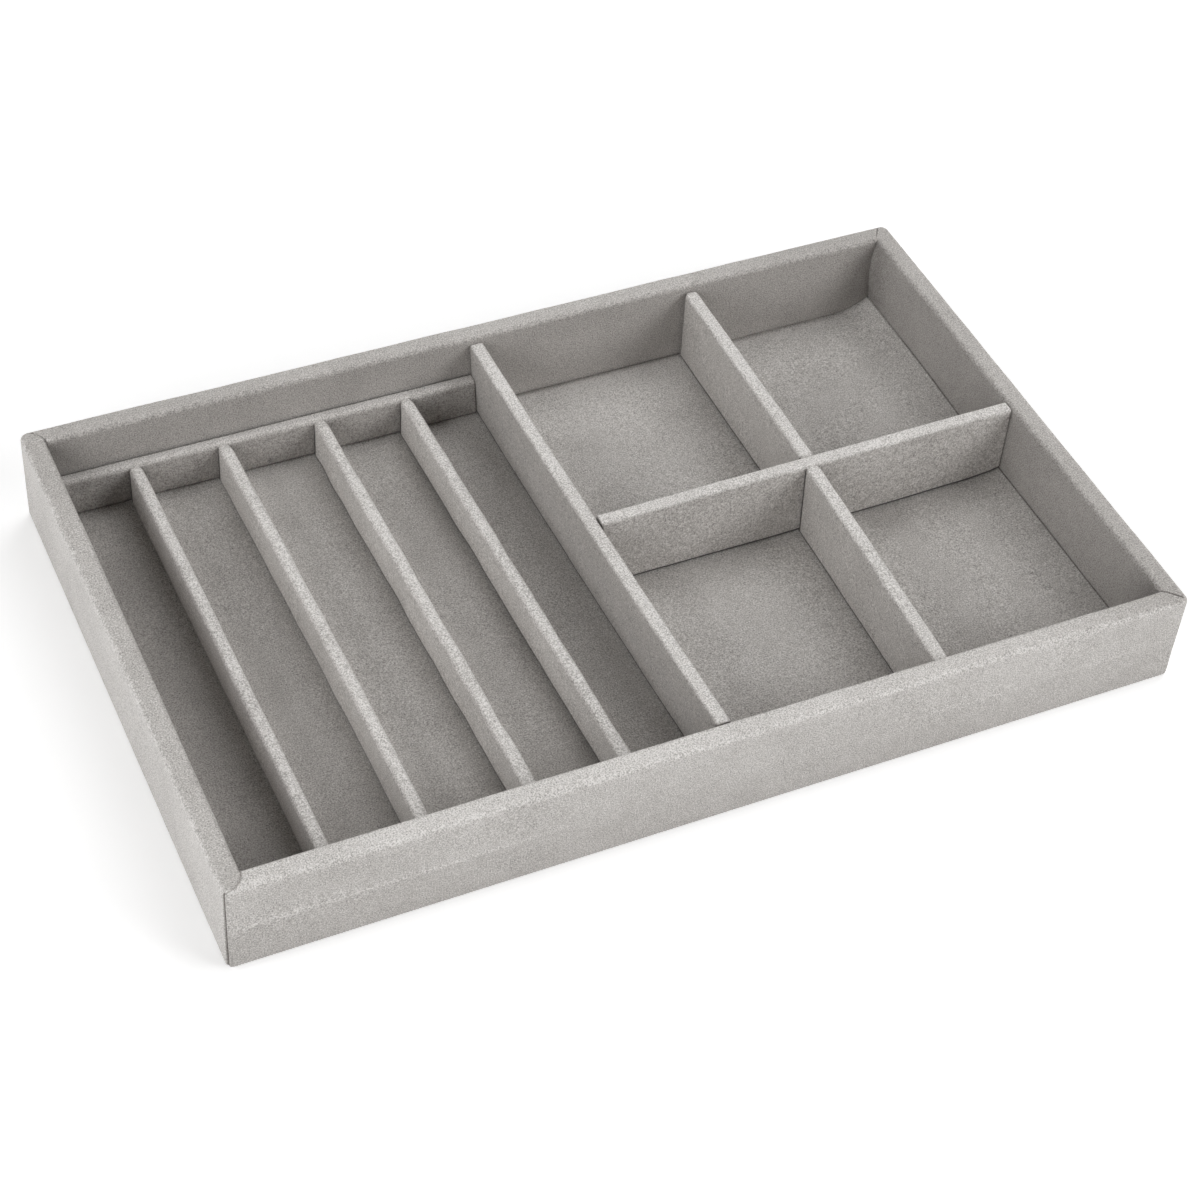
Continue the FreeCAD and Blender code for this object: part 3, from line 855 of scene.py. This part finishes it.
def bottomLining(s):
    low, high = nodeBox("bottom_lining")
    bm = bmesh.new()
    bmesh.ops.create_cube(bm, size=1.0)
    bmesh.ops.scale(bm, vec=(high.x - low.x, high.y - low.y, s["rimHeight"]), verts=bm.verts)
    bmesh.ops.translate(bm, vec=(0, 0, s["rimHeight"] / 2), verts=bm.verts)
    uprights = [e for e in bm.edges if abs(e.verts[0].co.z - e.verts[1].co.z) > samePlace]
    bevelEdges(bm, uprights, s["cornerRadius"], s["cornerSegments"])
    lid = max(bm.faces, key=lambda f: f.calc_center_median().z)
    bmesh.ops.inset_region(bm, faces=[lid], thickness=s["stepInset"], use_even_offset=True)
    raised = bmesh.ops.extrude_discrete_faces(bm, faces=[lid])["faces"]
    bmesh.ops.translate(bm, vec=(0, 0, high.z - s["rimHeight"]), verts=raised[0].verts)
    bm.normal_update()
    edges = [e for e in bm.edges if all(v.co.z < samePlace for v in e.verts)]
    bevelEdges(bm, edges, s["softEdge"], s["softSegments"])
    cutAcross(bm, 0, evenPlaces(low.x, high.x, s["step"]))
    cutAcross(bm, 1, evenPlaces(low.y, high.y, s["step"]))
    lining = finishPiece("bottom_felt", bm, felt, "bottom_lining")
    print("bottom lining:", len(lining.data.polygons), "faces")


bottomLining(liningSettings)


# Studio: a white floor that keeps the tray's shadow, faint in front of it, and six soft lamps all round.
# A lamp's turn is counted from the front towards the right, and its height in degrees above the floor.
studio = {"floorSize": 6.0, "floorCells": 8, "floorColour": "#F2F2F2", "cameraGlow": 0.40, "sideGlow": 0.345,
          "frontGlow": 0.50, "sideMm": (178.0, 200.0), "frontMm": (-106.0, -116.0), "backdrop": "#FFFFFF",
          "lampDistance": 2.2, "lampSize": 1.4}
lamps = {
    "frontRight": {"turn": 45, "height": 31, "watts": 23.5},
    "rearHigh": {"turn": 135, "height": 62, "watts": 16.5},
    "rearLow": {"turn": 135, "height": 12, "watts": 13.0},
    "rearLeft": {"turn": 225, "height": 24, "watts": 6.5},
    "left": {"turn": 270, "height": 32, "watts": 14.5},
    "frontLeft": {"turn": 315, "height": 21, "watts": 13.0},
}


def studioFloor(s):
    bm = bmesh.new()
    cells = s["floorCells"]
    bmesh.ops.create_grid(bm, x_segments=cells, y_segments=cells, size=s["floorSize"] / 2)
    mesh = bpy.data.meshes.new("studioFloor")
    bm.to_mesh(mesh)
    bm.free()
    floor = bpy.data.objects.new("studioFloor", mesh)
    bpy.context.collection.objects.link(floor)
    material, tree = newMaterial("white_paper_floor")
    paper = addNode(tree, "ShaderNodeBsdfDiffuse", {"Color": hexColour(s["floorColour"])})
    place = addNode(tree, "ShaderNodeNewGeometry")
    axes = addNode(tree, "ShaderNodeSeparateXYZ", {0: place.outputs["Position"]})
    away = addNode(tree, "ShaderNodeMath", {0: axes.outputs["X"]}, operation="ABSOLUTE")
    # The glow is weaker across the tray's width and just beside it, so the shadow there shows darker, and
    # stronger in front of the tray, so the shadow there fades
    (sideNear, sideFar), (frontNear, frontFar) = s["sideMm"], s["frontMm"]
    beside = addNode(tree, "ShaderNodeMapRange",
                     {"Value": away.outputs[0], "From Min": sideNear * mm, "From Max": sideFar * mm,
                      "To Min": s["sideGlow"], "To Max": s["cameraGlow"]})
    strength = addNode(tree, "ShaderNodeMapRange",
                       {"Value": axes.outputs["Y"], "From Min": frontNear * mm, "From Max": frontFar * mm,
                        "To Min": beside.outputs["Result"], "To Max": s["frontGlow"]})
    glow = addNode(tree, "ShaderNodeEmission", {"Strength": strength.outputs["Result"]})
    seen = addNode(tree, "ShaderNodeAddShader", {0: paper.outputs[0], 1: glow.outputs[0]})
    path = addNode(tree, "ShaderNodeLightPath")
    camera, glossy = path.outputs["Is Camera Ray"], path.outputs["Is Glossy Ray"]
    direct = addNode(tree, "ShaderNodeMath", {0: camera, 1: glossy}, operation="MAXIMUM")
    direct = addNode(tree, "ShaderNodeMath", {0: direct.outputs[0], 1: path.outputs["Is Transmission Ray"]},
                     operation="MAXIMUM")
    mix = addNode(tree, "ShaderNodeMixShader",
                  {0: direct.outputs[0], 1: paper.outputs[0], 2: seen.outputs[0]})
    addNode(tree, "ShaderNodeOutputMaterial", {"Surface": mix.outputs[0]})
    mesh.materials.append(material)


# White all round for the camera, and dark for everything else
def studioBackdrop(s):
    world = bpy.data.worlds.new("studioBackdrop")
    bpy.context.scene.world = world
    world.use_nodes = True
    tree = world.node_tree
    tree.nodes.clear()
    path = addNode(tree, "ShaderNodeLightPath")
    white = addNode(tree, "ShaderNodeBackground", {"Color": hexColour(s["backdrop"]),
                                                   "Strength": path.outputs["Is Camera Ray"]})
    addNode(tree, "ShaderNodeOutputWorld", {"Surface": white.outputs[0]})


def studioLamps(places, s):
    for name, own in places.items():
        data = bpy.data.lights.new(name, "AREA")
        data.shape = "DISK"
        data.size = s["lampSize"]
        data.energy = own["watts"]
        lamp = bpy.data.objects.new(name, data)
        turn, height = math.radians(own["turn"]), math.radians(own["height"])
        lamp.location = s["lampDistance"] * Vector((math.cos(height) * math.sin(turn),
                                                    -math.cos(height) * math.cos(turn), math.sin(height)))
        lamp.rotation_euler = (-lamp.location).to_track_quat("-Z", "Y").to_euler()
        bpy.context.collection.objects.link(lamp)


# Camera where the photograph was taken from
view = {"placeMm": (-320.0, -610.5, 699.5), "turnDegrees": (44.325, -3.497, -24.364),
        "focalPixels": 2734.7, "imagePixels": 1200, "sensorMm": 36.0, "nearestMm": 10.0}


def photoCamera(v):
    data = bpy.data.cameras.new("photoCamera")
    data.sensor_width = v["sensorMm"]
    data.lens = v["focalPixels"] / v["imagePixels"] * v["sensorMm"]
    data.clip_start = v["nearestMm"] * mm
    camera = bpy.data.objects.new("photoCamera", data)
    camera.location = Vector(v["placeMm"]) * mm
    camera.rotation_euler = [math.radians(a) for a in v["turnDegrees"]]
    bpy.context.collection.objects.link(camera)
    bpy.context.scene.camera = camera


studioFloor(studio)
studioBackdrop(studio)
studioLamps(lamps, studio)
photoCamera(view)
bpy.context.scene.view_settings.view_transform = "Standard"
print("studio ready")
